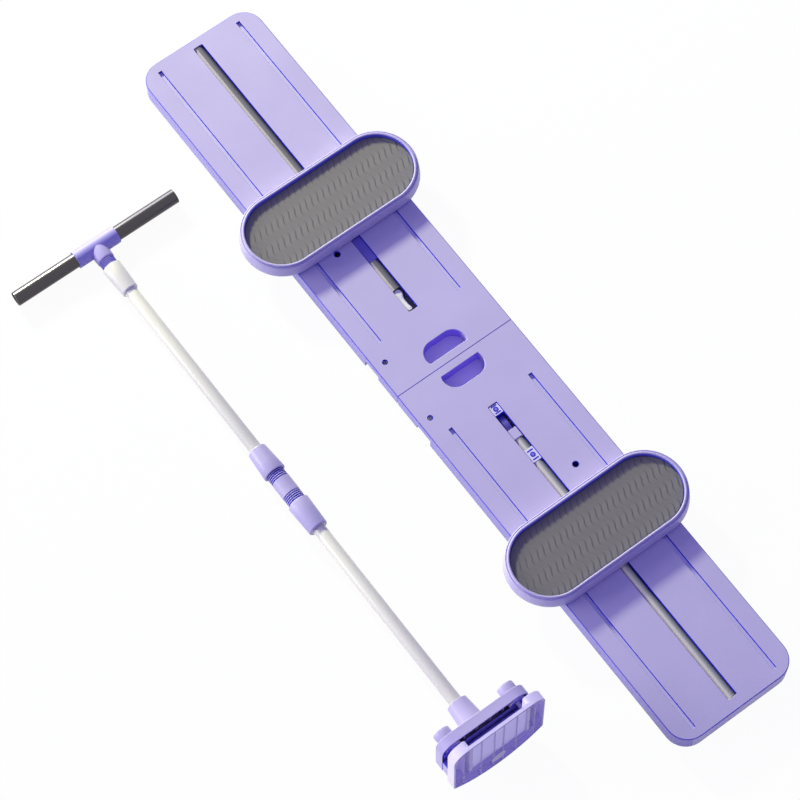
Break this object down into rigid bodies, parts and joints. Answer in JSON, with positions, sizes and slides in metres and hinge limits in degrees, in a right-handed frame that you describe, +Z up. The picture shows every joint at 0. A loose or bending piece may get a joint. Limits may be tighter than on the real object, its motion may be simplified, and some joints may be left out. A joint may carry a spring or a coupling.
{
  "type": "portable pilates reformer",
  "caption": "Folding sliding board with two wheeled foot plates running on guide rods, and a push-up pole with a threaded joint and a clamp foot, for pilates at home",
  "frame": {"origin": "on the floor, under the middle of the bounding box of the whole object", "axes": "+X along the board from half A to half B, +Y from the pole to the board, +Z up"},
  "size_m": [1.272, 0.5854, 0.15],
  "materials": {
    "lilac_plastic": "satin moulded plastic",
    "dark_lilac_plastic": "satin moulded plastic, darker",
    "white_plastic": "satin moulded plastic",
    "grey_foam": "matt foam rubber with a wave pattern",
    "black_rubber": "matt rubber",
    "polished_steel": "ground bright steel",
    "gunmetal_chrome": "dark glossy plating",
    "white_painted_steel": "satin white paint"
  },
  "bodies": {
    "half_b": {"deck_b": "lilac_plastic", "base_b": "lilac_plastic", "guide_rod_b": "polished_steel", "rod_holder_outer_b": "lilac_plastic", "rod_saddle_inner_b": "lilac_plastic", "rod_saddle_mid_b": "lilac_plastic", "slot_bridge_b": "lilac_plastic", "latch_tongue_b": "dark_lilac_plastic", "foot_strip_inner_b": "black_rubber", "foot_strip_outer_b": "black_rubber", "hinge_pin_left_b": "polished_steel", "hinge_pin_right_b": "polished_steel"},
    "hinge_links": {"hinge_link_left": "polished_steel", "hinge_link_right": "polished_steel"},
    "half_a": {"deck_a": "lilac_plastic", "base_a": "lilac_plastic", "guide_rod_a": "polished_steel", "rod_holder_outer_a": "lilac_plastic", "rod_clip_a": "white_plastic", "rod_stop_a": "lilac_plastic", "foot_strip_inner_a": "black_rubber", "foot_strip_outer_a": "black_rubber", "hinge_pin_left_a": "polished_steel", "hinge_pin_right_a": "polished_steel"},
    "plate_a": {"tray_a": "lilac_plastic", "pad_a": "grey_foam", "chassis_a": "dark_lilac_plastic", "carriage_a": "dark_lilac_plastic"},
    "plate_b": {"tray_b": "lilac_plastic", "pad_b": "grey_foam", "chassis_b": "dark_lilac_plastic", "carriage_b": "dark_lilac_plastic"},
    "wheelset_outer_a": {"axle_outer_a": "polished_steel", "wheel_left_outer_a": "black_rubber", "wheel_right_outer_a": "black_rubber"},
    "wheelset_inner_a": {"axle_inner_a": "polished_steel", "wheel_left_inner_a": "black_rubber", "wheel_right_inner_a": "black_rubber"},
    "wheelset_outer_b": {"axle_outer_b": "polished_steel", "wheel_left_outer_b": "black_rubber", "wheel_right_outer_b": "black_rubber"},
    "wheelset_inner_b": {"axle_inner_b": "polished_steel", "wheel_left_inner_b": "black_rubber", "wheel_right_inner_b": "black_rubber"},
    "pole": {"lower_tube": "white_painted_steel", "connector": "lilac_plastic", "clamp_body": "lilac_plastic"},
    "upper_pole": {"upper_tube": "white_painted_steel", "tee_sleeve": "lilac_plastic", "tee_screw_left": "gunmetal_chrome", "tee_screw_right": "gunmetal_chrome", "crossbar_tube": "gunmetal_chrome", "crossbar_cap_left": "black_rubber", "crossbar_cap_right": "black_rubber"},
    "tee_nut": {"tee_nut": "white_plastic"},
    "collar_nut": {"collar_nut": "lilac_plastic"},
    "cone_nut": {"cone_nut": "lilac_plastic"},
    "peg_knob_left": {"peg_knob_left": "lilac_plastic"},
    "peg_knob_right": {"peg_knob_right": "lilac_plastic"}
  },
  "joints": [
    {"name": "link_fold", "type": "hinge", "parent": "half_b", "child": "hinge_links", "pos_m": [0.0133, 0.1468, 0.013], "axis": [0, -1, 0], "range_deg": [0, 90]},
    {"name": "half_a_fold", "type": "hinge", "parent": "hinge_links", "child": "half_a", "pos_m": [-0.0133, 0.1468, 0.013], "axis": [0, -1, 0], "range_deg": [0, 90]},
    {"name": "plate_a_slide", "type": "slide", "parent": "half_a", "child": "plate_a", "axis": [1, 0, 0], "range_m": [-0.27, 0.016]},
    {"name": "plate_b_slide", "type": "slide", "parent": "half_b", "child": "plate_b", "axis": [1, 0, 0], "range_m": [-0.084, 0.248]},
    {"name": "wheelset_outer_a_turn", "type": "hinge", "parent": "plate_a", "child": "wheelset_outer_a", "pos_m": [-0.334, 0.1468, 0.0371], "axis": [0, 1, 0], "continuous": true},
    {"name": "wheelset_inner_a_turn", "type": "hinge", "parent": "plate_a", "child": "wheelset_inner_a", "pos_m": [-0.258, 0.1468, 0.0371], "axis": [0, 1, 0], "continuous": true},
    {"name": "wheelset_outer_b_turn", "type": "hinge", "parent": "plate_b", "child": "wheelset_outer_b", "pos_m": [0.36, 0.1468, 0.0371], "axis": [0, 1, 0], "continuous": true},
    {"name": "wheelset_inner_b_turn", "type": "hinge", "parent": "plate_b", "child": "wheelset_inner_b", "pos_m": [0.284, 0.1468, 0.0371], "axis": [0, 1, 0], "continuous": true},
    {"name": "pole_lift", "type": "slide", "parent": "half_b", "child": "pole", "axis": [0, 0, 1], "range_m": [0, 0.3]},
    {"name": "upper_pole_pull", "type": "slide", "parent": "pole", "child": "upper_pole", "axis": [-0.9998, 0, -0.0183], "range_m": [0, 0.12]},
    {"name": "tee_nut_turn", "type": "hinge", "parent": "upper_pole", "child": "tee_nut", "pos_m": [-0.39151, -0.1547, 0.0147], "axis": [0.9998, 0, 0.0183], "range_deg": [0, 360]},
    {"name": "collar_nut_turn", "type": "hinge", "parent": "pole", "child": "collar_nut", "pos_m": [-0.03157, -0.1547, 0.02127], "axis": [0.9998, 0, 0.0183], "range_deg": [0, 360]},
    {"name": "cone_nut_turn", "type": "hinge", "parent": "pole", "child": "cone_nut", "pos_m": [0.06841, -0.1547, 0.0231], "axis": [0.9998, 0, 0.0183], "range_deg": [0, 360]},
    {"name": "peg_knob_left_pull", "type": "slide", "parent": "pole", "child": "peg_knob_left", "axis": [-0.9998, 0, -0.0183], "range_m": [0, 0.0235], "stiffness_N_per_m": 300, "springref_m": -0.01},
    {"name": "peg_knob_right_pull", "type": "slide", "parent": "pole", "child": "peg_knob_right", "axis": [-0.9998, 0, -0.0183], "range_m": [0, 0.0235], "stiffness_N_per_m": 300, "springref_m": -0.01}
  ],
  "couplings": [
    {"joint": "half_a_fold", "follows": "link_fold", "ratio": 1},
    {"joint": "wheelset_outer_a_turn", "follows": "plate_a_slide", "rad_per_m": 142.86},
    {"joint": "wheelset_inner_a_turn", "follows": "plate_a_slide", "rad_per_m": 142.86},
    {"joint": "wheelset_outer_b_turn", "follows": "plate_b_slide", "rad_per_m": 142.86},
    {"joint": "wheelset_inner_b_turn", "follows": "plate_b_slide", "rad_per_m": 142.86}
  ]
}
